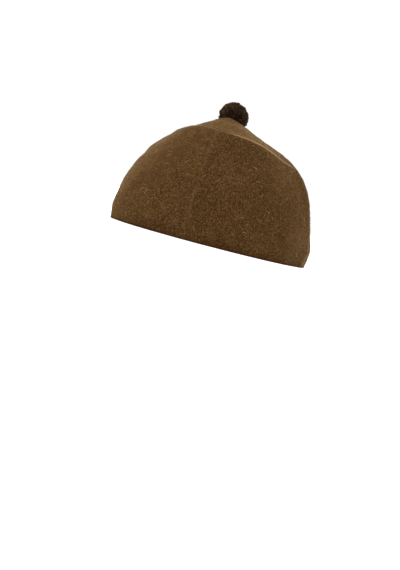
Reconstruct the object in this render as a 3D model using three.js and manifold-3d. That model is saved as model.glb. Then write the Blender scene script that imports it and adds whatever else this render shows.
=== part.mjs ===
// A felt skullcap sewn from four gores, with a clipped wool pompom on its crown.
// Units are millimetres and +Z is up. The cap stands on its rim, the wearer would face -Y,
// and the origin is on the standing surface, under the middle of the rim.
// A heading is an angle about +Z: 0 is the front, and it grows towards the wearer's left, +X.

import * as THREE from "three";
import { mergeVertices } from "three/addons/utils/BufferGeometryUtils.js";
import Module from "manifold-3d";

const degrees = THREE.MathUtils.degToRad;

// Driving dimensions
const rimHalfLength = 100; // from the middle of the rim to its front, outside the felt
const rimHalfWidth = 87; // from the middle of the rim to its side, outside the felt
const feltThickness = 3;
const touchGap = 0.3; // between two pieces that meet
const firstSeam = degrees(25); // heading of the seam nearest the front
const frontRise = 21; // how much higher the fold stands at the seam nearest the front than behind
const leanHeading = degrees(-52); // the way the crown leans
const seamRidge = 0.9; // how proud the felt stands along a seam
const seamRidgeWidth = 2.6; // distance from the seam at which the ridge is down to a third
const foldHeight = 2.2; // how proud the fold stands that runs across a gore from seam to seam
const foldLevel = 6.75; // the fold's place, counted in sections
const foldReachBelow = 2; // sections in which the fold dies away down the wall
const foldReachAbove = 0.9; // sections in which it dies away on the roof
const foldSteepness = degrees(50); // of the way in which the fold stands proud
const pompomRadius = 13.8;
const pompomSink = 10; // how far the crown's top presses up into the pompom
const headRadius = 11.2; // the dense middle of the pompom
const lockCount = 62;
const lockTurn = degrees(137.508); // from one lock to the next, round the pompom
const lockSides = 6;
const lockUnevenness = 0.8; // difference in reach between long and short locks
const lowestLock = -0.7; // sine of the steepest way down in which a lock still stands
const tieRadius = 2.4; // the bundle of yarn that holds the pompom
const tieSides = 16;
const knotRadius = 5;
const knotHeight = 4;

// Sections of the outside of the crown, from the rim up.
//   height: above the standing surface, at the sides of the crown
//   reach:  radius at a seam, as a share of the rim's radius in that direction
//   square: 0 where the wall runs round from seam to seam, 1 where it runs straight
//   rise:   share of frontRise by which the front of the section stands above its back
//   lean:   distance of the section's middle from the origin, towards leanHeading
const crownSections = [
  { height: 0, reach: 1, square: 0, rise: 0, lean: 0 },
  { height: 16, reach: 1.026, square: 0.03, rise: 0, lean: 0 },
  { height: 34, reach: 1, square: 0.12, rise: 0.1, lean: 0.8 },
  { height: 52, reach: 0.952, square: 0.26, rise: 0.27, lean: 0.8 },
  { height: 66, reach: 0.888, square: 0.42, rise: 0.5, lean: 0.5 },
  { height: 75, reach: 0.828, square: 0.56, rise: 0.75, lean: 0.2 },
  { height: 81.3, reach: 0.765, square: 0.66, rise: 1.02, lean: 0.1 },
  { height: 86.9, reach: 0.69, square: 0.71, rise: 0.94, lean: 0.1 },
  { height: 93.2, reach: 0.585, square: 0.72, rise: 0.7, lean: 1.4 },
  { height: 99.2, reach: 0.44, square: 0.68, rise: 0.57, lean: 3.2 },
  { height: 105.2, reach: 0.285, square: 0.52, rise: 0.38, lean: 5.4 },
  { height: 110.9, reach: 0.155, square: 0.3, rise: 0.26, lean: 6.8 },
  { height: 113.4, reach: 0.075, square: 0.1, rise: 0.12, lean: 7 },
  { height: 114, reach: 0.031, square: 0, rise: 0, lean: 7 },
];
const sectionColumns = ["height", "reach", "square", "rise", "lean"];
const stepsPerSection = 2;
const lastSection = crownSections.length - 1;
const pressedSections = 4; // the uppermost ones, which the pompom may touch
const apex = crownSections[lastSection];

// A lock's outline, from inside the head to its clipped end: its radius, and how far along the
// lock's reach it has it
const lockProfile = [
  { radius: 0, along: 0.6 },
  { radius: 2.2, along: 0.6 },
  { radius: 3.2, along: 0.84 },
  { radius: 1.9, along: 0.97 },
  { radius: 0, along: 1 },
];

// The knot's outline, from its lower end up, as shares of its radius and height
const knotProfile = [
  { radius: 0, height: 0 },
  { radius: 0.7, height: 0.15 },
  { radius: 1, height: 0.6 },
  { radius: 0.8, height: 1 },
];

// Where a gore's edges of facets stand between its two seams, closer together beside a seam
const goreStations = [0, 0.015, 0.045, 0.11, 0.21, 0.32, 0.44, 0.56, 0.68, 0.79, 0.89, 0.955, 0.985, 1];

// Each gore, with the number of seams between its first seam and firstSeam
const gores = [
  { name: "gore_left", seam: 0 },
  { name: "gore_back", seam: 1 },
  { name: "gore_right", seam: 2 },
  { name: "gore_front", seam: 3 },
];
const goreAngle = (2 * Math.PI) / gores.length;

const felt = { color: 0x5f4427, roughness: 0.95, metalness: 0 };
const yarn = { color: 0x2b2018, roughness: 0.9, metalness: 0 };

const outward = (heading) => new THREE.Vector3(Math.sin(heading), -Math.cos(heading), 0);

// A smooth run of every column of the table, at a level counted in sections
function sectionAt(level) {
  const below = Math.min(Math.floor(level), lastSection - 1);
  const t = level - below;
  const value = (name, row) => crownSections[THREE.MathUtils.clamp(row, 0, lastSection)][name];
  const slope = (name, row) => {
    const inside = row > 0 && row < lastSection;
    return (value(name, row + 1) - value(name, row - 1)) * (inside ? 0.5 : 1);
  };
  const hermite = (name) =>
    (2 * t ** 3 - 3 * t ** 2 + 1) * value(name, below) +
    (t ** 3 - 2 * t ** 2 + t) * slope(name, below) +
    (3 * t ** 2 - 2 * t ** 3) * value(name, below + 1) +
    (t ** 3 - t ** 2) * slope(name, below + 1);
  return Object.fromEntries(sectionColumns.map((name) => [name, hermite(name)]));
}

// Radius of the rim's ellipse in a direction
function rimRadius(heading) {
  const across = rimHalfWidth * Math.cos(heading);
  const along = rimHalfLength * Math.sin(heading);
  return (rimHalfLength * rimHalfWidth) / Math.hypot(across, along);
}

// How far a section stands above its height in a direction, as a share of frontRise: most at the
// seam nearest the front, nothing at both sides, and a little below it behind
const riseAt = (heading) => ((1 + Math.cos(heading - firstSeam)) / 2) ** 2 - 0.25;

// How far a fold across a gore stands proud: a sharp crest that fades towards both seams
function foldAt(share, level) {
  const reach = level < foldLevel ? foldReachBelow : foldReachAbove;
  const crest = Math.max(1 - Math.abs(level - foldLevel) / reach, 0);
  return foldHeight * crest ** 2 * Math.sin(Math.PI * share);
}

// A point of the cap's outside: the rim's ellipse, drawn in to the section's reach, made squarer
// between the seams, and raised beside them and at the fold
function outerPoint(heading, level) {
  const section = sectionAt(level);
  const turn = THREE.MathUtils.euclideanModulo(heading - firstSeam, goreAngle);
  const chord = Math.cos(goreAngle / 2) / Math.cos(turn - goreAngle / 2);
  const round = rimRadius(heading) * section.reach;
  const fromSeam = round * Math.sin(Math.min(turn, goreAngle - turn));
  const ridge = seamRidge * Math.exp(-((fromSeam / seamRidgeWidth) ** 2));
  const faded = ridge * THREE.MathUtils.smoothstep(round, headRadius, 2 * headRadius);
  const fold = foldAt(turn / goreAngle, level);
  const radius = round * (1 + section.square * (chord - 1)) + faded + fold * Math.cos(foldSteepness);
  const point = outward(heading).multiplyScalar(radius);
  point.addScaledVector(outward(leanHeading), section.lean);
  point.z = section.height + frontRise * section.rise * riseAt(heading) + fold * Math.sin(foldSteepness);
  return point;
}

// The outside's normal. At a seam it's taken just inside the gore, because the crown has a corner there
function outerNormal(heading, level, headingInGore) {
  const small = 1e-3;
  const sideways = outerPoint(headingInGore + small, level).sub(outerPoint(headingInGore - small, level));
  const above = outerPoint(heading, Math.min(level + small, lastSection));
  const upwards = above.sub(outerPoint(heading, Math.max(level - small, 0)));
  return sideways.cross(upwards).normalize();
}

// The point of the cap's inside behind an outer one. It stays in the upright plane of its heading,
// so the edges of two neighbouring gores face each other
function innerPoint(heading, level, headingInGore) {
  const outer = outerPoint(heading, level);
  const out = outward(heading);
  if (level === 0) return outer.addScaledVector(out, -feltThickness);
  if (level === lastSection) return outer.setZ(outer.z - feltThickness);
  const normal = outerNormal(heading, level, headingInGore);
  const inPlane = out.multiplyScalar(normal.dot(out)).setZ(normal.z);
  return outer.addScaledVector(inPlane, -feltThickness / inPlane.lengthSq());
}

// Adds the faces of a grid of points, a list of rows. They face the side from which the rows run
// to the right and follow each other upwards
function pushGrid(positions, rows) {
  for (let i = 0; i + 1 < rows.length; i++) {
    for (let j = 0; j + 1 < rows[i].length; j++) {
      const corners = [rows[i][j], rows[i][j + 1], rows[i + 1][j + 1], rows[i + 1][j]];
      for (const k of [0, 1, 2, 0, 2, 3]) positions.push(...corners[k].toArray());
    }
  }
}

function geometryOf(positions) {
  const geometry = new THREE.BufferGeometry();
  geometry.setAttribute("position", new THREE.Float32BufferAttribute(positions, 3));
  return mergeVertices(geometry);
}

// One gore: its outside, its inside, and the cut edges that join them. It stands back half a
// gap from each of its two seams
function goreGeometry(start) {
  const middle = start + goreAngle / 2;
  const outer = [];
  const inner = [];
  for (let i = 0; i <= lastSection * stepsPerSection; i++) {
    const level = i / stepsPerSection;
    outer.push([]);
    inner.push([]);
    for (const station of goreStations) {
      const heading = start + goreAngle * station;
      const headingInGore = heading + Math.sign(middle - heading) * degrees(0.1);
      const edge = station === 0 ? 1 : station === 1 ? -1 : 0;
      const aside = outward(heading + Math.PI / 2).multiplyScalar((edge * touchGap) / 2);
      outer[i].push(outerPoint(heading, level).add(aside));
      inner[i].push(innerPoint(heading, level, headingInGore).add(aside));
    }
  }
  const column = (rows, j) => rows.map((row) => row.at(j));
  const transpose = (rows) => rows[0].map((_, j) => column(rows, j));
  const positions = [];
  pushGrid(positions, outer);
  pushGrid(positions, inner.toReversed());
  pushGrid(positions, [inner[0], outer[0]]);
  pushGrid(positions, [outer.at(-1), inner.at(-1)]);
  pushGrid(positions, transpose([column(inner, 0), column(outer, 0)]));
  pushGrid(positions, transpose([column(outer, -1), column(inner, -1)]));
  return geometryOf(positions);
}

const crownMiddle = outward(leanHeading).multiplyScalar(apex.lean);

const wasm = await Module();
wasm.setup();

// A closed geometry as a solid that can be joined and cut
function solidOf(geometry) {
  const bare = new THREE.BufferGeometry();
  bare.setAttribute("position", geometry.getAttribute("position"));
  bare.setIndex(geometry.getIndex());
  const merged = mergeVertices(bare);
  const triangles = [];
  for (let i = 0; i < merged.index.count; i += 3) {
    const corners = [0, 1, 2].map((k) => merged.index.getX(i + k));
    if (new Set(corners).size === 3) triangles.push(...corners);
  }
  const vertProperties = new Float32Array(merged.getAttribute("position").array);
  const mesh = new wasm.Mesh({ numProp: 3, vertProperties, triVerts: new Uint32Array(triangles) });
  return new wasm.Manifold(mesh);
}

function geometryFrom(solid) {
  const mesh = solid.getMesh();
  const geometry = new THREE.BufferGeometry();
  geometry.setAttribute("position", new THREE.Float32BufferAttribute(mesh.vertProperties, 3));
  geometry.setIndex(new THREE.Uint32BufferAttribute(mesh.triVerts, 1));
  return geometry;
}

// A turned form about the upright axis. The outline starts and ends on that axis
function turned(outline, sides) {
  return new THREE.LatheGeometry(outline, sides).rotateX(Math.PI / 2);
}

// The crown's top, one gap proud, as a solid: what the pompom is pressed against
function crownTop() {
  const lowest = lastSection - pressedSections;
  const rows = [];
  for (let i = 0; i <= pressedSections * stepsPerSection; i++) {
    rows.push([]);
    for (const gore of gores) {
      for (const station of goreStations.slice(0, -1)) {
        const heading = firstSeam + goreAngle * (gore.seam + station);
        const point = outerPoint(heading, lowest + i / stepsPerSection);
        rows[i].push(point.setZ(point.z + touchGap));
      }
    }
    rows[i].push(rows[i][0]);
  }
  const floor = crownSections[lowest].height - frontRise / 2;
  const base = rows[0].map((point) => point.clone().setZ(floor));
  const bottom = base.map(() => crownMiddle.clone().setZ(floor));
  const top = base.map(() => crownMiddle.clone().setZ(apex.height + touchGap));
  const positions = [];
  pushGrid(positions, [bottom, base, ...rows, top]);
  return geometryOf(positions);
}

// The pompom about its own middle: a round head, with locks of clipped yarn that stand out of it
// evenly in every direction but down
function pompomBall() {
  const up = new THREE.Vector3(0, 0, 1);
  let ball = solidOf(new THREE.IcosahedronGeometry(headRadius, 2));
  for (let i = 0; i < lockCount; i++) {
    const climb = 1 - (2 * i + 1) / lockCount;
    if (climb < lowestLock) break;
    const reach = pompomRadius - (lockUnevenness * (i % 3)) / 2;
    const outline = lockProfile.map((ring) => new THREE.Vector2(ring.radius, ring.along * reach));
    const direction = outward(i * lockTurn).multiplyScalar(Math.sqrt(1 - climb ** 2)).setZ(climb);
    const turn = new THREE.Quaternion().setFromUnitVectors(up, direction);
    ball = ball.add(solidOf(turned(outline, lockSides).applyQuaternion(turn)));
  }
  return ball;
}

// The tie from a height inside the pompom down through the meeting point of the seams, and its knot
// inside the crown
function tieAndKnot(upperEnd) {
  const knotTop = apex.height - feltThickness - 3 * touchGap;
  const outline = knotProfile.map(
    (ring) => new THREE.Vector2(ring.radius * knotRadius, knotTop + (ring.height - 1) * knotHeight),
  );
  outline.push(new THREE.Vector2(tieRadius, knotTop));
  outline.push(new THREE.Vector2(tieRadius, upperEnd));
  outline.push(new THREE.Vector2(0, upperEnd));
  return turned(outline, tieSides).translate(crownMiddle.x, crownMiddle.y, 0);
}

// The pompom on the crown: its underside takes the crown's form, and the tie is fused to it
function pompomGeometry() {
  const centre = apex.height - pompomSink + pompomRadius;
  const raised = pompomBall().translate([crownMiddle.x, crownMiddle.y, centre]);
  const seated = raised.subtract(solidOf(crownTop()));
  return geometryFrom(seated.add(solidOf(tieAndKnot(centre))));
}

const cap = new THREE.Group();

for (const gore of gores) {
  const geometry = goreGeometry(firstSeam + goreAngle * gore.seam);
  const mesh = new THREE.Mesh(geometry, new THREE.MeshStandardMaterial(felt));
  mesh.name = gore.name;
  cap.add(mesh);
}

const pompom = new THREE.Mesh(pompomGeometry(), new THREE.MeshStandardMaterial(yarn));
pompom.name = "pompom";
cap.add(pompom);

export default cap;
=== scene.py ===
import math

import bpy
import numpy as np
from mathutils import Matrix, Vector


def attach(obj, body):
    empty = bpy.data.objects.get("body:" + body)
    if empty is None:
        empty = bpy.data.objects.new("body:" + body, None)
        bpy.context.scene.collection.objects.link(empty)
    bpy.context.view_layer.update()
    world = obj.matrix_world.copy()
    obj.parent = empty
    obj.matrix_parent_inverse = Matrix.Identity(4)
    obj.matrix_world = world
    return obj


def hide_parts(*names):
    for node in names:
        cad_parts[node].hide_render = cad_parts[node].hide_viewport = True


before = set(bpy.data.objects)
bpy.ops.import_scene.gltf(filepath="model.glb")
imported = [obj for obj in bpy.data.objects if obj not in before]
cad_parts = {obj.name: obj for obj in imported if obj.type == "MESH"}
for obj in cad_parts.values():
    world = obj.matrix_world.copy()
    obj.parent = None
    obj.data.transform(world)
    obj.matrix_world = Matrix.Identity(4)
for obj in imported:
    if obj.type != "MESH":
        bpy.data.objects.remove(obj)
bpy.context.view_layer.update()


# The four gores: panels of 3 mm milled wool felt, each cut to a point and sewn to the next edge to
# edge. A gore bends along a fold that runs across it from seam to seam, so the wall below it stands
# steep and the top of the cap is a low roof of four facets. The rim is a plain cut edge.

MM = 0.001
RIM_HALF_LENGTH = 100 * MM
RIM_HALF_WIDTH = 87 * MM
FELT_THICKNESS = 3 * MM
FIRST_SEAM = math.radians(25)
GORE_ANGLE = math.pi / 2
GORE_NODES = ("gore_left", "gore_back", "gore_right", "gore_front")
FRONT_RISE = 21 * MM
LEAN_HEADING = math.radians(-52)

# The outside of the crown in sections from the rim up, as in the solids: height at the sides in mm,
# radius at a seam as a share of the rim's, straightness between seams, share of the front's rise
# and lean in mm. A level is the number of a section, or lies between two of them.
CROWN_COLUMNS = ("height", "reach", "square", "rise", "lean")
CROWN_SECTIONS = np.array(
    [
        (0, 1, 0, 0, 0),
        (16, 1.026, 0.03, 0, 0),
        (34, 1, 0.12, 0.1, 0.8),
        (52, 0.952, 0.26, 0.27, 0.8),
        (66, 0.888, 0.42, 0.5, 0.5),
        (75, 0.828, 0.56, 0.75, 0.2),
        (81.3, 0.765, 0.66, 1.02, 0.1),
        (86.9, 0.69, 0.71, 0.94, 0.1),
        (93.2, 0.585, 0.72, 0.7, 1.4),
        (99.2, 0.44, 0.68, 0.57, 3.2),
        (105.2, 0.285, 0.52, 0.38, 5.4),
        (110.9, 0.155, 0.3, 0.26, 6.8),
        (113.4, 0.075, 0.1, 0.12, 7),
        (114, 0.031, 0, 0, 7),
    ]
)
LAST_SECTION = len(CROWN_SECTIONS) - 1

SEAM_RIDGE = 0.9 * MM
SEAM_RIDGE_WIDTH = 2.6 * MM
RIDGE_FADES_FROM = 11.2 * MM
FOLD_HEIGHT = 2.2 * MM
FOLD_LEVEL = 6.75
FOLD_REACH_BELOW = 2
FOLD_REACH_ABOVE = 0.9
FOLD_STEEPNESS = math.radians(50)

# What the solids leave out: how far the cut edges round over, the puckers that the sewing leaves
# beside a seam, and the felt's own unevenness as pairs of wavelength and height. It is halved at
# the rim, full at a height above it, and dies down over the last levels below the apex.
EDGE_ROUND = 0.5 * MM
SEAM_HALF_GAP = 0.05 * MM
PUCKER_LENGTH = 10 * MM
PUCKER_HEIGHT = 0.2 * MM
PUCKER_WIDTH = 7 * MM
PUCKER_SEED = 5
UNEVENNESS = ((42 * MM, 0.7 * MM), (16 * MM, 0.2 * MM), (5 * MM, 0.07 * MM), (2.6 * MM, 0.05 * MM))
FULL_ABOVE_RIM = 8 * MM
FULL_BELOW_APEX = 1.5
WAVE_COUNT = 36
WAVE_LENGTHS = (0.75, 1.35)
WAVES_TOGETHER = 9

# The rows and columns of a gore, drawn together where the felt turns sharply
FACE_LENGTH = 1.25 * MM
COLUMNS_BESIDE_SEAM = np.array([0, 0.1, 0.25, 0.45, 0.75, 1.2, 1.9, 2.8]) * MM
ROWS_ABOVE_RIM = np.array([0, 0.03, 0.1, 0.22, 0.4, 0.65, 1]) * MM
ROWS_BESIDE_FOLD = np.array([-1.6, -0.8, -0.35, -0.1, 0, 0.1, 0.35, 0.8, 1.6]) * MM
ROOM_FOR_FOLD = 1.2
FINE_LEVELS = 1500
JUST_INSIDE = 1e-4
LEVEL_CUT_BELOW = 6 * MM


def outward(heading):
    """The level unit vector towards a heading: 0 is the front, -Y, and it grows towards +X."""
    return np.stack([np.sin(heading), -np.cos(heading), np.zeros_like(heading)], axis=-1)


def unit(vectors):
    """Vectors of the same directions and of length 1."""
    return vectors / np.linalg.norm(vectors, axis=-1, keepdims=True)


def run_length(points):
    """The length along a run of points, from 0 at its first one."""
    return np.concatenate([[0], np.cumsum(np.linalg.norm(np.diff(points, axis=0), axis=-1))])


def smooth_step(value, low, high):
    """0 below low, 1 above high, and 3t^2 - 2t^3 between them."""
    t = np.clip((value - low) / (high - low), 0, 1)
    return t * t * (3 - 2 * t)


def bell(distance, width):
    """A bell curve: 1 at no distance, and e to the minus square of the distance in widths."""
    return np.exp(-((distance / width) ** 2))


def crown_values(level):
    """Every column of the sections at a level, on a cubic whose slope at a section is half the step
    from the section below it to the one above."""
    slopes = np.gradient(CROWN_SECTIONS, axis=0)
    below = np.clip(np.floor(level).astype(int), 0, LAST_SECTION - 1)
    t = (level - below)[..., None]
    start = (1 + 2 * t) * (1 - t) ** 2 * CROWN_SECTIONS[below] + t * (1 - t) ** 2 * slopes[below]
    end = t**2 * (3 - 2 * t) * CROWN_SECTIONS[below + 1] - t**2 * (1 - t) * slopes[below + 1]
    return dict(zip(CROWN_COLUMNS, np.moveaxis(start + end, -1, 0)))


def crown_point(heading, level):
    """The outside of the crown, and each point's distance from the nearer seam. The rim's ellipse is
    drawn in to the section's reach and blended with the straight chord from seam to seam. It stands
    proud along a seam by a bell curve, and at the fold by a crest that falls off as a square. The
    front rises by the square of the raised cosine of the turn from the first seam, less the quarter
    that this square has at the sides."""
    turn = np.mod(heading - FIRST_SEAM, GORE_ANGLE)
    section = crown_values(level)
    across = RIM_HALF_WIDTH * np.cos(heading)
    along = RIM_HALF_LENGTH * np.sin(heading)
    rounded = RIM_HALF_LENGTH * RIM_HALF_WIDTH / np.hypot(across, along) * section["reach"]
    chord = math.cos(GORE_ANGLE / 2) / np.cos(turn - GORE_ANGLE / 2)
    from_seam = rounded * np.sin(np.minimum(turn, GORE_ANGLE - turn))
    ridge = SEAM_RIDGE * bell(from_seam, SEAM_RIDGE_WIDTH)
    ridge = ridge * smooth_step(rounded, RIDGE_FADES_FROM, 2 * RIDGE_FADES_FROM)
    reach = np.where(level < FOLD_LEVEL, FOLD_REACH_BELOW, FOLD_REACH_ABOVE)
    crest = np.clip(1 - np.abs(level - FOLD_LEVEL) / reach, 0, None)
    fold = FOLD_HEIGHT * crest**2 * np.sin(np.pi * turn / GORE_ANGLE)
    radius = rounded * (1 + section["square"] * (chord - 1)) + ridge + fold * math.cos(FOLD_STEEPNESS)
    points = outward(heading) * radius[..., None]
    points += outward(np.array(LEAN_HEADING)) * (section["lean"] * MM)[..., None]
    in_front = ((1 + np.cos(heading - FIRST_SEAM)) / 2) ** 2 - 0.25
    points[..., 2] = section["height"] * MM + FRONT_RISE * section["rise"] * in_front
    points[..., 2] += fold * math.sin(FOLD_STEEPNESS)
    return points, from_seam


def waves(points, wavelength, seed):
    """A smooth unevenness of about -1 to 1: a sum of plane sine waves of nearly one length, whose
    directions, lengths and phases are drawn from the seed, over what so many seldom pass together.
    The lengths lie between two shares of the wavelength."""
    draw = np.random.default_rng(seed)
    directions = unit(draw.normal(size=(WAVE_COUNT, 3))).T
    lengths = wavelength * draw.uniform(*WAVE_LENGTHS, WAVE_COUNT)
    phases = draw.uniform(0, 2 * np.pi, WAVE_COUNT)
    return np.sin(points @ directions * (2 * np.pi / lengths) + phases).sum(axis=-1) / WAVES_TOGETHER


def rounding(distance):
    """How far a rounded edge falls away at a distance from its end: a quarter circle."""
    short = np.clip(EDGE_ROUND - distance, 0, EDGE_ROUND)
    return EDGE_ROUND - np.sqrt(EDGE_ROUND**2 - short**2)


def gore_shares():
    """Shares of the way from one seam to the next: close beside both seams, and even between."""
    beside = COLUMNS_BESIDE_SEAM / (RIM_HALF_WIDTH * GORE_ANGLE)
    between = np.linspace(beside[-1], 1 - beside[-1], round(RIM_HALF_LENGTH * GORE_ANGLE / FACE_LENGTH))
    return np.concatenate([beside[:-1], between, 1 - beside[-2::-1]])


def gore_levels():
    """Levels from the rim to the apex: close at the rim and at the fold, and even along the length
    of the felt between."""
    fine = np.linspace(0, LAST_SECTION, FINE_LEVELS)
    length = run_length(crown_point(np.full_like(fine, FIRST_SEAM + GORE_ANGLE / 2), fine)[0])
    above = np.linspace(ROWS_ABOVE_RIM[-1], length[-1], round(length[-1] / FACE_LENGTH))
    fold = np.interp(FOLD_LEVEL, fine, length) + ROWS_BESIDE_FOLD
    above = above[np.abs(above - fold.mean()) > ROOM_FOR_FOLD * np.ptp(fold) / 2]
    rows = np.sort(np.concatenate([ROWS_ABOVE_RIM[:-1], above, fold]))
    return np.interp(rows, length, fine)


def gore_sides(first_heading, share, level):
    """The outside and the inside of a gore and the outside's normals, as grids of rows by columns.
    The inside lies one thickness in along the normal, kept in the upright plane of its heading and
    turned level towards the rim. Both sides carry the felt's unevenness, round over at the rim and
    into the seams, and stand a hair back from the next gore. The seams' own columns are worked out
    just inside the gore, because the turn from its first seam starts again at the next."""
    heading = first_heading + share * GORE_ANGLE
    just_inside = first_heading + np.clip(share, JUST_INSIDE, 1 - JUST_INSIDE) * GORE_ANGLE
    outer, from_seam = crown_point(just_inside, level)
    normal = unit(np.cross(np.gradient(outer, axis=1), np.gradient(outer, axis=0)))
    out = outward(heading)
    across = out * (normal * out).sum(axis=-1, keepdims=True)
    across *= np.clip(LAST_SECTION - level, 0, 1)[..., None]
    across[..., 2] = normal[..., 2] * smooth_step(outer[..., 2], 0, LEVEL_CUT_BELOW)
    inner = outer - FELT_THICKNESS * across / (across**2).sum(axis=-1, keepdims=True)
    swell = PUCKER_HEIGHT * bell(from_seam, PUCKER_WIDTH) * waves(outer, PUCKER_LENGTH, PUCKER_SEED)
    for seed, (wavelength, height) in enumerate(UNEVENNESS):
        swell += height * waves(outer, wavelength, seed)
    swell *= smooth_step(LAST_SECTION - level, 0, FULL_BELOW_APEX)
    swell *= smooth_step(outer[..., 2], -FULL_ABOVE_RIM, FULL_ABOVE_RIM)
    at_seam = rounding(from_seam)
    at_rim = (rounding(outer[..., 2]) * (level < 1))[..., None]
    outer += normal * (swell - at_seam)[..., None] - out * at_rim
    inner += normal * (swell + at_seam)[..., None] + out * at_rim
    aside = outward(heading + math.pi / 2) * (SEAM_HALF_GAP * np.sign(0.5 - share))[..., None]
    aside *= ((share == 0) | (share == 1))[..., None]
    for side in (outer, inner):
        side += aside
        side[..., 2] = np.maximum(side[..., 2], 0)
    return outer, inner, normal


# Painted highlight: the felt is painted paler in patches along the crest of the fold and along the
# seams, where the light catches them
HIGHLIGHT_PATCHES = 22 * MM
HIGHLIGHT_SEED = 9
HIGHLIGHT_MEAN = 0.75
HIGHLIGHT_SWING = 0.3
FOLD_HIGHLIGHT_WIDTH = 1 * MM
LEAST_FOLD_HIGHLIGHT = 0.2
SEAM_HIGHLIGHT_WIDTH = 1.5 * MM
FRONT_SEAM_HIGHLIGHT = 0.06
SIDE_SEAM_HIGHLIGHT = 0.11


def painted_highlight_amount(outer, share, level):
    """How much painted highlight the outside of a gore gets, from 0 to 1: a bell curve across the fold,
    which runs out at the seams as the root of a sine, or one across a seam where that is more. The
    fold's painted highlight is strongest on the gore beside the front seam, by a squared raised cosine.
    A seam's painted highlight is stronger, and up to twice as wide, by the sine of its turn from the
    front seam."""
    from_fold = np.linalg.norm(outer - outer[np.abs(level[:, 0] - FOLD_LEVEL).argmin()], axis=-1)
    from_seam = np.minimum(share, 1 - share) * RIM_HALF_WIDTH * GORE_ANGLE
    from_front = np.arctan2(outer[..., 0], -outer[..., 1]) - FIRST_SEAM
    beside = ((1 + np.cos(from_front - GORE_ANGLE / 2)) / 2) ** 2
    on_fold = bell(from_fold, FOLD_HIGHLIGHT_WIDTH) * np.sin(np.pi * share) ** 0.5
    on_fold *= LEAST_FOLD_HIGHLIGHT + (1 - LEAST_FOLD_HIGHLIGHT) * beside
    aside = np.abs(np.sin(from_front))
    seam_highlight = FRONT_SEAM_HIGHLIGHT + SIDE_SEAM_HIGHLIGHT * aside
    on_seam = seam_highlight * bell(from_seam, SEAM_HIGHLIGHT_WIDTH * (1 + aside))
    patches = np.clip(HIGHLIGHT_MEAN + HIGHLIGHT_SWING * waves(outer, HIGHLIGHT_PATCHES, HIGHLIGHT_SEED), 0, 1)
    return np.maximum(on_fold, on_seam) * patches


def strip(first, second):
    """Quads between two equal runs of vertex numbers."""
    return np.stack([first[:-1], first[1:], second[1:], second[:-1]], axis=-1)


def new_piece(name, points, faces, **values):
    """A smooth-shaded object at the origin, made from points and from arrays of faces that each
    hold faces of one number of corners. values are numbers a point, for its material to read."""
    corners = np.concatenate([part.ravel() for part in faces]).astype(np.int32)
    sizes = np.concatenate([np.full(len(part), part.shape[1]) for part in faces])
    mesh = bpy.data.meshes.new(name)
    mesh.vertices.add(points.size // 3)
    mesh.vertices.foreach_set("co", points.astype(np.float32).ravel())
    mesh.loops.add(len(corners))
    mesh.loops.foreach_set("vertex_index", corners)
    mesh.polygons.add(len(sizes))
    mesh.polygons.foreach_set("loop_start", (np.cumsum(sizes) - sizes).astype(np.int32))
    mesh.update(calc_edges=True)
    mesh.shade_smooth()
    for key, value in values.items():
        stored = mesh.attributes.new(key, "FLOAT", "POINT")
        stored.data.foreach_set("value", value.astype(np.float32).ravel())
    piece = bpy.data.objects.new(name, mesh)
    bpy.context.scene.collection.objects.link(piece)
    return piece


# How high over the rim the painted shade with a reddish tint along its bottom edge is full, and gone
RIM_SHADE_FULL_BELOW = 0.3 * MM
RIM_SHADE_GONE_ABOVE = 3 * MM


def gore_piece(name, outer, inner, worn):
    """One closed gore: rows of the outside from the rim up and of the inside back down, joined at the
    apex and along the rim, and a strip along each seam. Its material reads a painted shade with a
    reddish tint, which is 1 at the bottom edge of the rim, and a painted highlight along the fold and
    the seams, which is 0 all over the inside."""
    rows, columns = outer.shape[:2]
    ring = np.arange(2 * rows * columns).reshape(2 * rows, columns)
    around = np.concatenate([strip(ring[i], ring[(i + 1) % (2 * rows)]) for i in range(2 * rows)])
    up, down = ring[:rows], ring[rows:][::-1]
    sides = [strip(down[:, -1], up[:, -1]), strip(up[:, 0], down[:, 0])]
    points = np.concatenate([outer, inner[::-1]])
    # Painted shade with a reddish tint along the bottom of the rim: full at the edge, gone a little
    # above it
    cut = 1 - smooth_step(points[..., 2], RIM_SHADE_FULL_BELOW, RIM_SHADE_GONE_ABOVE)
    worn = np.concatenate([worn, np.zeros_like(worn)])
    return new_piece(name, points, [around, *sides], cut=cut, worn=worn)


def linear(colour):
    """An sRGB hex colour as linear red, green and blue by the sRGB curve, and an alpha of 1."""
    parts = [int(colour[i : i + 2], 16) / 255 for i in (1, 3, 5)]
    return (*[c / 12.92 if c <= 0.04045 else ((c + 0.055) / 1.055) ** 2.4 for c in parts], 1)


def add_node(tree, kind, links=None, **settings):
    """Adds a node with its settings. links gives a socket, by its name or its number, a value or
    another node's output. Numbers stand where names repeat: the terms of a Math node count from 0,
    and a Mix node blends the colours 6 and 7 by the share 0 into its output 2."""
    node = tree.nodes.new(kind)
    for name, value in settings.items():
        setattr(node, name, value)
    for socket, value in (links or {}).items():
        if isinstance(value, bpy.types.NodeSocket):
            tree.links.new(value, node.inputs[socket])
        else:
            node.inputs[socket].default_value = value
    return node


def new_material(name):
    """An empty material, and its tree of nodes."""
    material = bpy.data.materials.new(name)
    material.use_nodes = True
    material.node_tree.nodes.clear()
    return material, material.node_tree


# Milled wool felt: fibres matted in every direction, so the eye sees a dull, finely mottled brown of
# lighter and darker fibres. A painted shade with a reddish tint darkens the bottom of the rim, and a
# painted highlight lightens the crest of the fold and the seams. Wool has an IOR near 1.55, but the
# tangle scatters its gloss and leaves a soft sheen.
WOOL_IOR = 1.55
FELT_DARK = "#241508"
FELT_BROWN = "#3c2711"
FELT_LIGHT = "#664d2c"
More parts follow.
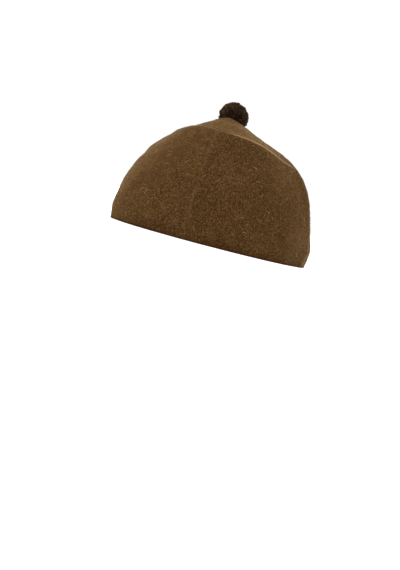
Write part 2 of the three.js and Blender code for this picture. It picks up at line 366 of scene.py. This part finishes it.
# Painted shade with a reddish tint along the bottom of the rim, and a painted highlight along the crest
# of the fold and the seams
FELT_RIM_SHADE = "#3d1f0e"
FELT_HIGHLIGHT = "#a4875e"
FELT_SHEEN = "#c49a5e"
FELT_RELIEF = 0.5 * MM
# A felt fibre is 0.03 mm wide, too fine for the picture, so clumps of fibres are drawn
CLUMP_SIZE = 1.1 * MM
CLUMP_CONTRAST = 0.85
# The thicker and thinner places of the felt: size, detail and weight
CLOUDS = ((2 * MM, 2, 0.7), (8 * MM, 3, 0.4), (32 * MM, 2, 0.5))
FULL_MOTTLE = 0.9

felt, tree = new_material("milled_wool_felt")
place = add_node(tree, "ShaderNodeTexCoord").outputs["Object"]
noise = {"Vector": place, "Scale": 1 / CLUMP_SIZE, "Detail": 2, "Roughness": 0.65, "Distortion": 1.2}
clumps = add_node(tree, "ShaderNodeTexNoise", noise).outputs[0]
limits = {"Value": clumps, "From Min": 0.3, "From Max": 0.7}
limits |= {"To Min": -CLUMP_CONTRAST, "To Max": CLUMP_CONTRAST}
mottle = add_node(tree, "ShaderNodeMapRange", limits).outputs[0]
for size, detail, weight in CLOUDS:
    noise = {"Vector": place, "Scale": 1 / size, "Detail": detail}
    cloud = add_node(tree, "ShaderNodeTexNoise", noise).outputs[0]
    centred = add_node(tree, "ShaderNodeMath", {0: cloud, 1: 0.5}, operation="SUBTRACT").outputs[0]
    terms = {0: centred, 1: weight, 2: mottle}
    mottle = add_node(tree, "ShaderNodeMath", terms, operation="MULTIPLY_ADD").outputs[0]
colour = linear(FELT_BROWN)
for tint, full in ((FELT_LIGHT, FULL_MOTTLE), (FELT_DARK, -FULL_MOTTLE)):
    limits = {"Value": mottle, "From Min": 0.0, "From Max": full}
    amount = add_node(tree, "ShaderNodeMapRange", limits).outputs[0]
    blend = {0: amount, 6: colour, 7: linear(tint)}
    colour = add_node(tree, "ShaderNodeMix", blend, data_type="RGBA").outputs[2]
# The painted shade along the rim's bottom and the painted highlight along the fold and the seams are
# mixed into the colour
for key, tint in (("cut", FELT_RIM_SHADE), ("worn", FELT_HIGHLIGHT)):
    amount = add_node(tree, "ShaderNodeAttribute", attribute_name=key).outputs["Fac"]
    blend = {0: amount, 6: colour, 7: linear(tint)}
    colour = add_node(tree, "ShaderNodeMix", blend, data_type="RGBA").outputs[2]
relief = {"Height": mottle, "Strength": 0.5, "Distance": FELT_RELIEF}
relief = add_node(tree, "ShaderNodeBump", relief).outputs[0]
surface = {"Base Color": colour, "Roughness": 0.95, "IOR": WOOL_IOR, "Specular IOR Level": 0.02}
surface |= {"Sheen Weight": 0.38, "Sheen Roughness": 0.25, "Sheen Tint": linear(FELT_SHEEN)}
surface |= {"Normal": relief}
surface = add_node(tree, "ShaderNodeBsdfPrincipled", surface).outputs[0]
add_node(tree, "ShaderNodeOutputMaterial", {"Surface": surface})

share, level = np.meshgrid(gore_shares(), gore_levels())
gore_grids = []
for number, node in enumerate(GORE_NODES):
    outer, inner, normal = gore_sides(FIRST_SEAM + number * GORE_ANGLE, share, level)
    gore_grids.append((outer, inner, normal))
    # Each gore carries the painted highlight along its fold and its seams
    gore = gore_piece("felt_" + node, outer, inner, painted_highlight_amount(outer, share, level))
    gore.data.materials.append(felt)
    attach(gore, "root")
    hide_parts(node)


# The nap: the ends of single fibres that milling and brushing leave free on the felt. Most lie down
# and curl back into it, some stand out and catch the light along the outline of the cap, and a few
# long pale ones have strayed on to it.

NAP_FIBRES = 7000
NAP_SEED = 100
NAP_LENGTH = (0.9 * MM, 2.4 * MM)
NAP_STEPS = np.array([0, 0.55, 1])[:, None]
NAP_SIDES = 3
# A fibre is 0.03 mm thick, which wouldn't show, so each is drawn about 0.15 mm thick at its root
NAP_HALF_WIDTH = 0.075 * MM
NAP_WIDTH_SPREAD = (0.7, 1.3)
NAP_TAPER = np.array([1, 0.8, 0.3])
# The two powers of a beta distribution from 0 to 1: many fibres are dark and few are pale
NAP_PALENESS = (1.3, 2.6)
ROOT_DEPTH = 0.12 * MM
OVER_FLOOR = 0.02 * MM
SIDEWAYS_CURL = 0.5

# Lift is the slope that a fibre leaves the felt at, and curl the share of it that it loses again
LYING_LIFT = (0.25, 0.6)
LYING_CURL = 0.9
STANDING_SHARE = 0.1
STANDING_LIFT = (0.7, 1.3)
STANDING_CURL = 0.35
STRAY_SHARE = 0.003
STRAY_LENGTH = 5 * MM
STRAY_HALF_WIDTH = 1.5 * NAP_HALF_WIDTH
STRAY_LIFT = 0.15
STRAY_PALENESS = 1.5


def tubes(path, radius, sides, across):
    """Closed tubes carried along paths: path is tubes by steps by 3, and round each step stand
    corners at the radius, square to the path, the first one square to across as well. Both ends are
    flat. Returns the points, and faces for new_piece."""
    count, steps = path.shape[:2]
    along = unit(np.gradient(path, axis=1))
    first = unit(np.cross(along, across))
    second = np.cross(along, first)
    angle = np.arange(sides) * 2 * np.pi / sides
    reach = first[:, :, None] * np.cos(angle)[:, None] + second[:, :, None] * np.sin(angle)[:, None]
    points = path[:, :, None] + reach * radius[..., None, None]
    corner = np.arange(count * steps * sides).reshape(count, steps, sides)
    following = np.roll(corner, -1, axis=2)
    quads = [corner[:, :-1], following[:, :-1], following[:, 1:], corner[:, 1:]]
    quads = np.stack(quads, axis=-1).reshape(-1, 4)
    return points, [quads, corner[:, 0, ::-1], corner[:, -1]]


def nap_on(outer, normal, draw):
    """Fibres rooted all over the outside of a gore, evenly by area. Each runs off in a direction
    drawn at random in the surface, rises by its lift, and curls back down and aside as the square
    of the way along it. Returns their paths, radii, the felt's normals at them, and paleness."""
    right = outer[:-1, 1:] - outer[:-1, :-1]
    up = outer[1:, :-1] - outer[:-1, :-1]
    area = np.linalg.norm(np.cross(right, up), axis=-1).ravel()
    cell = draw.choice(area.size, NAP_FIBRES, p=area / area.sum())
    row, column = np.unravel_index(cell, right.shape[:2])
    a, b = draw.uniform(size=(2, NAP_FIBRES, 1))
    face = unit(normal[row, column])
    root = outer[row, column] + a * right[row, column] + b * up[row, column]
    turn = draw.uniform(0, 2 * np.pi, (NAP_FIBRES, 1))
    level = unit(np.cross(face, right[row, column]))
    run = unit(right[row, column]) * np.cos(turn) + level * np.sin(turn)
    standing = draw.uniform(size=(NAP_FIBRES, 1)) < STANDING_SHARE
    standing_lift = draw.uniform(*STANDING_LIFT, standing.shape)
    lift = np.where(standing, standing_lift, draw.uniform(*LYING_LIFT, standing.shape))
    length = draw.uniform(*NAP_LENGTH, (NAP_FIBRES, 1))
    stray = draw.uniform(size=(NAP_FIBRES, 1)) < STRAY_SHARE
    length = np.where(stray, STRAY_LENGTH, length)
    lift = np.where(stray, STRAY_LIFT, lift)
    curl = np.where(standing, STANDING_CURL, LYING_CURL) * lift
    aside = np.cross(face, run) * draw.uniform(-SIDEWAYS_CURL, SIDEWAYS_CURL, (NAP_FIBRES, 1))
    path = (root - ROOT_DEPTH * face)[:, None] + run[:, None] * (length[:, None] * NAP_STEPS)
    path = path + face[:, None] * (length * lift)[:, None] * NAP_STEPS
    path = path + (aside - face * curl)[:, None] * length[:, None] * NAP_STEPS**2
    paleness = np.where(stray[:, 0], STRAY_PALENESS, draw.beta(*NAP_PALENESS, NAP_FIBRES))
    radius = NAP_HALF_WIDTH * NAP_TAPER * draw.uniform(*NAP_WIDTH_SPREAD, (NAP_FIBRES, 1))
    radius = np.where(stray, STRAY_HALF_WIDTH, radius)
    return path, radius, face, paleness


# A single wool fibre: paler than the felt because light passes through it, with a faint gloss. It
# is paler in some patches of the felt than in others.
FIBRE_DARK = "#3b240f"
FIBRE_PALE = "#b08e60"
FIBRE_PATCHES = 9 * MM

nap_wool, tree = new_material("loose_wool_fibre")
shade = add_node(tree, "ShaderNodeAttribute", attribute_name="shade").outputs["Fac"]
place = add_node(tree, "ShaderNodeTexCoord").outputs["Object"]
noise = {"Vector": place, "Scale": 1 / FIBRE_PATCHES, "Detail": 2}
cloud = add_node(tree, "ShaderNodeTexNoise", noise).outputs[0]
limits = {"Value": cloud, "From Min": 0.35, "From Max": 0.75, "To Min": 0.5, "To Max": 1.2}
patches = add_node(tree, "ShaderNodeMapRange", limits).outputs[0]
shade = add_node(tree, "ShaderNodeMath", {0: shade, 1: patches}, operation="MULTIPLY").outputs[0]
blend = {0: shade, 6: linear(FIBRE_DARK), 7: linear(FIBRE_PALE)}
colour = add_node(tree, "ShaderNodeMix", blend, data_type="RGBA").outputs[2]
surface = {"Base Color": colour, "Roughness": 0.7, "IOR": WOOL_IOR, "Specular IOR Level": 0.08}
surface = add_node(tree, "ShaderNodeBsdfPrincipled", surface).outputs[0]
add_node(tree, "ShaderNodeOutputMaterial", {"Surface": surface})

for number, node in enumerate(GORE_NODES):
    outer, _, normal = gore_grids[number]
    path, radius, face, paleness = nap_on(outer, normal, np.random.default_rng(NAP_SEED + number))
    points, faces = tubes(path, radius, NAP_SIDES, face[:, None])
    points[..., 2] = np.maximum(points[..., 2], OVER_FLOOR)
    shade = np.broadcast_to(paleness[:, None, None], points.shape[:3])
    nap = new_piece("felt_nap_" + node, points, faces, shade=shade)
    nap.data.materials.append(nap_wool)
    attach(nap, "root")


# The sewing: whip stitches of brown wool thread that draw the edges of two gores together. They
# were made on the inside, through half the thickness of the felt, so none shows outside.

STITCH_SPACING = 4.2 * MM
STITCH_HALF_SPAN = 2.3 * MM
STITCH_SLANT = 0.9 * MM
STITCH_RADIUS = 0.32 * MM
STITCH_TOP = 0.75 * MM
STITCH_DEPTH = 1.1 * MM
STITCH_STEPS = np.linspace(-1, 1, 7)[:, None]
STITCH_SIDES = 6
# The rows of a gore from clear of the rounded rim to just short of the apex
SEWN_ROWS = slice(8, -2)


def on_run(at, length, vectors):
    """Vectors at lengths along a run, each straight between the run's own."""
    return np.stack([np.interp(at, length, vectors[:, axis]) for axis in range(3)], axis=-1)


def whip_stitches(outer, inner):
    """The stitches along a gore's first seam, evenly spaced. Each runs straight across it at a
    slant, stands off the inside of the felt in its middle, and dives in at both ends by the fourth
    power of the way. Returns their paths, and the seam's direction at each."""
    length = run_length(inner[SEWN_ROWS, 0])
    at = np.arange(STITCH_SPACING, length[-1] - STITCH_SPACING, STITCH_SPACING)
    centre = on_run(at, length, inner[SEWN_ROWS, 0])
    into = unit(on_run(at, length, unit((inner - outer)[SEWN_ROWS, 0])))
    along = unit(np.gradient(centre, axis=0))
    beside = unit(np.cross(along, into))
    bow = STITCH_TOP - (STITCH_TOP + STITCH_DEPTH) * STITCH_STEPS**4
    path = centre[:, None] + beside[:, None] * STITCH_HALF_SPAN * STITCH_STEPS
    path = path + along[:, None] * STITCH_SLANT * STITCH_STEPS
    return path + into[:, None] * bow, along


# Wool thread of two twisted plies: the eye sees short light and dark flecks, and little gloss
THREAD_DARK = "#2c1d12"
THREAD_LIGHT = "#5c4127"
THREAD_TWIST = 0.5 * MM
THREAD_RELIEF = 0.2 * MM

thread, tree = new_material("twisted_wool_thread")
place = add_node(tree, "ShaderNodeTexCoord").outputs["Object"]
noise = {"Vector": place, "Scale": 1 / THREAD_TWIST, "Detail": 2}
twist = add_node(tree, "ShaderNodeTexNoise", noise).outputs[0]
blend = {0: twist, 6: linear(THREAD_DARK), 7: linear(THREAD_LIGHT)}
colour = add_node(tree, "ShaderNodeMix", blend, data_type="RGBA").outputs[2]
relief = {"Height": twist, "Strength": 0.5, "Distance": THREAD_RELIEF}
relief = add_node(tree, "ShaderNodeBump", relief).outputs[0]
surface = {"Base Color": colour, "Roughness": 0.8, "IOR": WOOL_IOR, "Specular IOR Level": 0.25}
surface |= {"Normal": relief}
surface = add_node(tree, "ShaderNodeBsdfPrincipled", surface).outputs[0]
add_node(tree, "ShaderNodeOutputMaterial", {"Surface": surface})

sewn = [whip_stitches(outer, inner) for outer, inner, _ in gore_grids]
path, along = [np.concatenate(parts) for parts in zip(*sewn)]
points, faces = tubes(path, np.full(path.shape[:2], STITCH_RADIUS), STITCH_SIDES, along[:, None])
stitches = new_piece("seam_stitches", points, faces)
stitches.data.materials.append(thread)
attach(stitches, "root")


# The pompom: thick wool yarn wound, tied round its middle and clipped to a ball, so each cut end
# frays into a tuft of strands. Its tie goes down through the point where the seams meet, to a knot
# on the inside that draws the pompom down on to the crown.

POMPOM_RADIUS = 13.8 * MM
POMPOM_SINK = 10 * MM
POMPOM_SEED = 7
CROWN_MIDDLE = outward(np.array(LEAN_HEADING)) * CROWN_SECTIONS[-1, 4] * MM
POMPOM_CENTRE = CROWN_MIDDLE + [0, 0, CROWN_SECTIONS[-1, 0] * MM - POMPOM_SINK + POMPOM_RADIUS]
SEAT_CLEARANCE = 0.45 * MM
SEAT_LAYER = 0.5 * MM
HALVINGS = 16
GOLDEN_TURN = math.radians(137.508)

# The tufts: how unevenly they stand and how long they are, as shares of the ball's radius, how
# wide they spread, and how far a whole tuft leans and a single tip strays
TUFTS = 330
LOWEST_TUFT = -0.8
TUFT_SCATTER = 0.035
TUFT_LENGTHS = (0.965, 1.005)
TUFT_REACH = 1.35 * MM
TUFT_REACH_SPREAD = (0.8, 1.2)
TUFT_LEAN = 0.35 * MM
TIP_DOME = 0.25
TIP_STRAY = 0.16 * MM

# The strands of a tuft, which come close together at their roots, and bow on their way out
STRANDS_A_TUFT = 40
STRAND_STEPS = np.array([0, 0.6, 1])[:, None]
STRAND_SIDES = 3
STRAND_BOW = 0.5
STRAND_HALF_WIDTH = 0.15 * MM
STRAND_WIDTH_SPREAD = (0.75, 1.25)
STRAND_TAPER = np.array([1, 1, 0.75])
ROOT_SHARE = 0.68
ROOT_SPREAD = 0.35

# A strand's tone from dark to light: a range for its tuft, and the two powers of a beta distribution
# for itself. Painted shade darkens it towards the centre of the ball, deep among the tufts, and it
# comes up to its full tone between two distances from the centre.
TUFT_TONES = (-0.2, 0.15)
STRAND_TONES = (0.5, 2.3)
DEPTH_SHADE_FULL_BELOW = 0.72 * POMPOM_RADIUS
DEPTH_SHADE_GONE_ABOVE = 0.99 * POMPOM_RADIUS


def crown_height(points):
    """The height of the crown's outside under points near the apex. The level whose radius about
    the lean is the point's is found by halving, because the radius shrinks as the level grows."""
    offset = points - CROWN_MIDDLE
    heading = np.arctan2(offset[..., 0], -offset[..., 1])
    wanted = np.hypot(offset[..., 0], offset[..., 1])
    low = np.full(wanted.shape, FOLD_LEVEL + FOLD_REACH_BELOW)
    high = np.full(wanted.shape, float(LAST_SECTION))
    for _ in range(HALVINGS):
        level = (low + high) / 2
        found = crown_point(heading, level)[0] - CROWN_MIDDLE
        wider = np.hypot(found[..., 0], found[..., 1]) > wanted
        low = np.where(wider, level, low)
        high = np.where(wider, high, level)
    return crown_point(heading, (low + high) / 2)[0][..., 2]


def golden_directions(count, lowest):
    """Directions spread evenly over a ball, above the lowest share of its height: heights in even
    steps, each one golden turn further round than the last."""
    height = 1 - (np.arange(count) + 0.5) / count * (1 - lowest)
    turn = np.arange(count) * GOLDEN_TURN
    level = np.sqrt(1 - height**2)
    return np.stack([level * np.cos(turn), level * np.sin(turn), height], axis=-1)


def yarn_strands(draw):
    """The strands of every tuft. A tuft stands along a direction of the ball, and its strands fan
    out from it to the root of a random share of its reach, which fills it evenly, with tips that
    fall off as the square of that. A strand runs from its root to its tip and bows out by t(1 - t).
    Where it would reach into the crown it lies on it. Returns the paths, the radii, a vector across
    each, and the tones of its steps, with painted shade towards the centre of the ball."""
    middle = golden_directions(TUFTS, LOWEST_TUFT)
    middle = unit(middle + draw.normal(scale=TUFT_SCATTER, size=middle.shape))
    tuft_length = POMPOM_RADIUS * draw.uniform(*TUFT_LENGTHS, (TUFTS, 1))
    spread = TUFT_REACH * np.sqrt(draw.uniform(size=(TUFTS, STRANDS_A_TUFT, 1)))
    spread = spread * draw.uniform(*TUFT_REACH_SPREAD, (TUFTS, 1, 1))
    turn = draw.uniform(0, 2 * np.pi, (TUFTS, STRANDS_A_TUFT, 1))
    side = unit(np.cross(middle, draw.normal(size=middle.shape)))
    other = np.cross(middle, side)
    fan = (side[:, None] * np.cos(turn) + other[:, None] * np.sin(turn)) * spread
    lean = draw.normal(scale=TUFT_LEAN, size=(TUFTS, 1, 3))
    tip = middle[:, None] * (tuft_length[:, None] - TIP_DOME * spread**2 / TUFT_REACH) + fan + lean
    tip = tip + draw.normal(scale=TIP_STRAY, size=tip.shape)
    root = middle[:, None] * POMPOM_RADIUS * ROOT_SHARE + ROOT_SPREAD * fan
    path = root[:, :, None] * (1 - STRAND_STEPS) + tip[:, :, None] * STRAND_STEPS
    path = path + (fan[:, :, None] * STRAND_BOW) * (STRAND_STEPS * (1 - STRAND_STEPS))
    path = POMPOM_CENTRE + path.reshape(-1, len(STRAND_STEPS), 3)
    seat = crown_height(path) + SEAT_CLEARANCE
    laid = seat + draw.uniform(0, SEAT_LAYER, seat.shape)
    path[..., 2] = np.where(path[..., 2] < seat, laid, path[..., 2])
    count = len(path)
    radius = STRAND_HALF_WIDTH * STRAND_TAPER * draw.uniform(*STRAND_WIDTH_SPREAD, (count, 1))
    across = draw.normal(size=(count, 1, 3))
    tuft_tone = np.repeat(draw.uniform(*TUFT_TONES, TUFTS), STRANDS_A_TUFT)
    strand_tone = np.clip(tuft_tone + draw.beta(*STRAND_TONES, count), 0, 1)
    # Painted shade: the tone falls to dark towards the centre of the ball, deep among the tufts
    from_centre = np.linalg.norm(path - POMPOM_CENTRE, axis=-1)
    tone = strand_tone[:, None] * smooth_step(from_centre, DEPTH_SHADE_FULL_BELOW, DEPTH_SHADE_GONE_ABOVE)
    return path, radius, across, tone


# Dark brown wool yarn, clipped: the ends are matt. The nearly black colour in the gaps between tufts is
# painted shade, carried in the strands' tone
YARN_DARK = "#110b07"
YARN_LIGHT = "#785a40"
YARN_SHEEN = "#b08a58"
YARN_PATCHES = 3 * MM
YARN_UNEVENNESS = 0.12

yarn, tree = new_material("clipped_wool_yarn")
tone = add_node(tree, "ShaderNodeAttribute", attribute_name="shade").outputs["Fac"]
place = add_node(tree, "ShaderNodeTexCoord").outputs["Object"]
noise = {"Vector": place, "Scale": 1 / YARN_PATCHES, "Detail": 2}
cloud = add_node(tree, "ShaderNodeTexNoise", noise).outputs[0]
terms = {0: cloud, 1: YARN_UNEVENNESS, 2: tone}
tone = add_node(tree, "ShaderNodeMath", terms, operation="MULTIPLY_ADD").outputs[0]
blend = {0: tone, 6: linear(YARN_DARK), 7: linear(YARN_LIGHT)}
colour = add_node(tree, "ShaderNodeMix", blend, data_type="RGBA").outputs[2]
surface = {"Base Color": colour, "Roughness": 0.9, "IOR": WOOL_IOR, "Specular IOR Level": 0.04}
surface |= {"Sheen Weight": 0.05, "Sheen Roughness": 0.4, "Sheen Tint": linear(YARN_SHEEN)}
surface = add_node(tree, "ShaderNodeBsdfPrincipled", surface).outputs[0]
add_node(tree, "ShaderNodeOutputMaterial", {"Surface": surface})

path, radius, across, tone = yarn_strands(np.random.default_rng(POMPOM_SEED))
points, faces = tubes(path, radius, STRAND_SIDES, across)
shade = np.broadcast_to(tone[..., None], points.shape[:3])
tufts = new_piece("pompom_yarn_ends", points, faces, shade=shade)

# The heart of the ball: an upright tube whose radius is a ball's, from near one pole to near the other,
# with yarn-sized lumps. Their length is a share of its radius.
HEART_RADIUS = 0.83 * POMPOM_RADIUS
HEART_ROWS = 40
HEART_COLUMNS = 64
HEART_POLE = 0.02
LUMP_LENGTH = 0.25
LUMP_HEIGHT = 0.35 * MM
LUMP_SEED = 11
TOWARDS_X = np.array([1.0, 0, 0])

turn = np.linspace(HEART_POLE * np.pi, (1 - HEART_POLE) * np.pi, HEART_ROWS)
path = np.zeros((1, HEART_ROWS, 3))
path[0, :, 2] = -np.cos(turn)
points, faces = tubes(path, np.sin(turn)[None], HEART_COLUMNS, TOWARDS_X)
points = unit(points)
lumps = LUMP_HEIGHT * waves(points, LUMP_LENGTH, LUMP_SEED)[..., None]
points = POMPOM_CENTRE + points * (HEART_RADIUS + lumps)
points[..., 2] = np.maximum(points[..., 2], crown_height(points) + SEAT_CLEARANCE)
# The heart takes the darkest tone all over, as painted shade deep inside the ball
heart = new_piece("pompom_heart", points, faces, shade=np.zeros(points.shape[:3]))

# The tie: four ends of yarn that turn round each other on their way down through the felt. The knot
# below it: a tube along a trefoil, which goes twice round while it rises and falls three times.
TIE_TOP = 116 * MM
TIE_TURN = 0.9 * MM
TIE_TWIST = 7
TIE_ENDS = 4
TIE_STEPS = 24
TIE_SIDES = 8
TIE_HALF_WIDTH = 0.75 * MM
KNOT_MIDDLE = 107.6 * MM
KNOT_STEPS = 90
KNOT_SIDES = 10
KNOT_SHAPE = np.array([1.25, 1.25, 1.0])
KNOT_HALF_WIDTH = 0.95 * MM
KNOT_TONE = 0.35
UPWARDS = np.array([0, 0, 1.0])

t = np.linspace(0, 1, TIE_STEPS)
phase = np.arange(TIE_ENDS)[:, None] * 2 * np.pi / TIE_ENDS
tie = np.stack(
    [
        POMPOM_CENTRE[0] + TIE_TURN * np.cos(phase + TIE_TWIST * t),
        POMPOM_CENTRE[1] + TIE_TURN * np.sin(phase + TIE_TWIST * t),
        np.broadcast_to(TIE_TOP + (KNOT_MIDDLE - TIE_TOP) * t, (TIE_ENDS, TIE_STEPS)),
    ],
    axis=-1,
)
tie_points, tie_faces = tubes(tie, np.full(tie.shape[:2], TIE_HALF_WIDTH), TIE_SIDES, TOWARDS_X)
t = np.linspace(0, 2 * np.pi, KNOT_STEPS)
swing = 2 + np.cos(3 * t)
loop = np.stack([swing * np.cos(2 * t), swing * np.sin(2 * t), np.sin(3 * t)], axis=-1)
loop = loop[None] * KNOT_SHAPE * MM
loop = loop + np.array([POMPOM_CENTRE[0], POMPOM_CENTRE[1], KNOT_MIDDLE])
knot_points, knot_faces = tubes(loop, np.full(loop.shape[:2], KNOT_HALF_WIDTH), KNOT_SIDES, UPWARDS)
first_corner = tie_points.size // 3
points = np.concatenate([tie_points.reshape(-1, 3), knot_points.reshape(-1, 3)])
faces = tie_faces + [part + first_corner for part in knot_faces]
knot = new_piece("pompom_tie_and_knot", points, faces, shade=np.full(len(points), KNOT_TONE))

for piece in (tufts, heart, knot):
    piece.data.materials.append(yarn)
    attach(piece, "root")
    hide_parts("pompom")


# The studio: a round dish of matt white paper that curves up on all sides, so that no horizon shows
# from any side, under large soft lamps. The cap lies on it on its rim.

DISH_HUB = 0.05
DISH_FIRST_RING = 0.3
DISH_FLAT = 2.4
DISH_CURVE = 1.1
DISH_WALL = 0.9
DISH_FLAT_RINGS = 8
DISH_CURVED_RINGS = 23
DISH_COLUMNS = 96

# In metres: a level floor, a quarter circle up from it, and a wall above that, turned once round
turn = np.linspace(0, np.pi / 2, DISH_CURVED_RINGS + 1)[1:]
floor = np.append(DISH_HUB, np.linspace(DISH_FIRST_RING, DISH_FLAT, DISH_FLAT_RINGS))
radius = np.concatenate([floor, DISH_FLAT + DISH_CURVE * np.sin(turn)])
height = np.concatenate([np.zeros(len(floor)), DISH_CURVE * (1 - np.cos(turn))])
radius = np.append(radius, radius[-1])
height = np.append(height, height[-1] + DISH_WALL)
heading = np.linspace(0, 2 * np.pi, DISH_COLUMNS + 1)[:-1]
points = outward(heading) * radius[:, None, None]
points[..., 2] = height[:, None]
ring = np.arange(points.size // 3).reshape(len(radius), DISH_COLUMNS)
closed = np.concatenate([ring, ring[:, :1]], axis=1)
around = np.concatenate([strip(lower, upper) for lower, upper in zip(closed[:-1], closed[1:])])
dish = new_piece("studio_paper", points, [around, ring[:1]])

# Matt white paper: its grain is so faint that the eye sees plain white
PAPER_DARK = "#f6f6f6"
PAPER_LIGHT = "#f9f9f9"
PAPER_GRAIN = 2.5 * MM

paper, tree = new_material("matt_white_paper")
place = add_node(tree, "ShaderNodeTexCoord").outputs["Object"]
noise = {"Vector": place, "Scale": 1 / PAPER_GRAIN, "Detail": 2}
grain = add_node(tree, "ShaderNodeTexNoise", noise).outputs[0]
blend = {0: grain, 6: linear(PAPER_DARK), 7: linear(PAPER_LIGHT)}
colour = add_node(tree, "ShaderNodeMix", blend, data_type="RGBA").outputs[2]
surface = {"Base Color": colour, "Roughness": 0.9, "Specular IOR Level": 0.1}
surface = add_node(tree, "ShaderNodeBsdfPrincipled", surface).outputs[0]
add_node(tree, "ShaderNodeOutputMaterial", {"Surface": surface})
dish.data.materials.append(paper)

STUDIO_LIGHT = 0.8

world = bpy.data.worlds.new("studio_white")
world.use_nodes = True
world.node_tree.nodes["Background"].inputs["Color"].default_value = (1, 1, 1, 1)
world.node_tree.nodes["Background"].inputs["Strength"].default_value = STUDIO_LIGHT
bpy.context.scene.world = world

# Soft lamps: name, heading and elevation from the cap in degrees, distance and side in metres, watts
LAMPS = (
    ("key_lamp", -2, 25, 1.9, 1.0, 14.5),
    ("left_edge_lamp", -126, 10, 1.7, 0.5, 22),
    ("right_edge_lamp", 187, 10, 1.8, 0.5, 50),
    ("top_lamp", -150, 80, 1.8, 1.0, 34),
)
LAMP_AIM = Vector((0, 0, 60 * MM))

for name, heading, elevation, distance, side, power in LAMPS:
    light = bpy.data.lights.new(name, "AREA")
    light.shape = "DISK"
    light.size = side
    light.energy = power
    lamp = bpy.data.objects.new(name, light)
    up = math.radians(elevation)
    level = outward(np.radians(heading)) * math.cos(up)
    away = Vector((level[0], level[1], math.sin(up)))
    lamp.location = away * distance + LAMP_AIM
    lamp.rotation_mode = "QUATERNION"
    lamp.rotation_quaternion = away.to_track_quat("Z", "Y")
    lamp.visible_camera = False
    bpy.context.scene.collection.objects.link(lamp)


# The camera: in front of the cap and to its left, as in the photograph, and low over the floor. It
# is rolled, because the cap sits tilted in the photograph.

CAMERA_HEADING = math.radians(38)
CAMERA_ELEVATION = math.radians(2)
CAMERA_ROLL = math.radians(15)
CAMERA_DISTANCE = 1.7
CAMERA_SIGHT = 20
LENS_MM = 116
SENSOR_MM = 36
# How far the middle of the picture lies from the middle of the rim, to its left and below it
AIM_LEFT = 7.4 * MM
AIM_BELOW = 39.4 * MM


def camera_axes(back):
    """The camera's right, up and back for a look along -back, rolled so that its up leans left."""
    level_right = Vector((0, 0, 1)).cross(back).normalized()
    true_up = back.cross(level_right)
    right = level_right * math.cos(CAMERA_ROLL) + true_up * math.sin(CAMERA_ROLL)
    return right, back.cross(right), back


level = outward(np.array(CAMERA_HEADING)) * math.cos(CAMERA_ELEVATION)
eye = Vector((level[0], level[1], math.sin(CAMERA_ELEVATION))) * CAMERA_DISTANCE
right, up, back = camera_axes(eye.normalized())
aim = -right * AIM_LEFT - up * AIM_BELOW
right, up, back = camera_axes((eye - aim).normalized())
camera = bpy.data.objects.new("camera", bpy.data.cameras.new("camera"))
camera.data.lens = LENS_MM
camera.data.sensor_width = SENSOR_MM
camera.data.clip_end = CAMERA_SIGHT
camera.rotation_mode = "QUATERNION"
camera.rotation_quaternion = Matrix((right, up, back)).transposed().to_quaternion()
camera.location = eye
bpy.context.scene.collection.objects.link(camera)
bpy.context.scene.camera = camera
bpy.context.scene.view_settings.view_transform = "Standard"
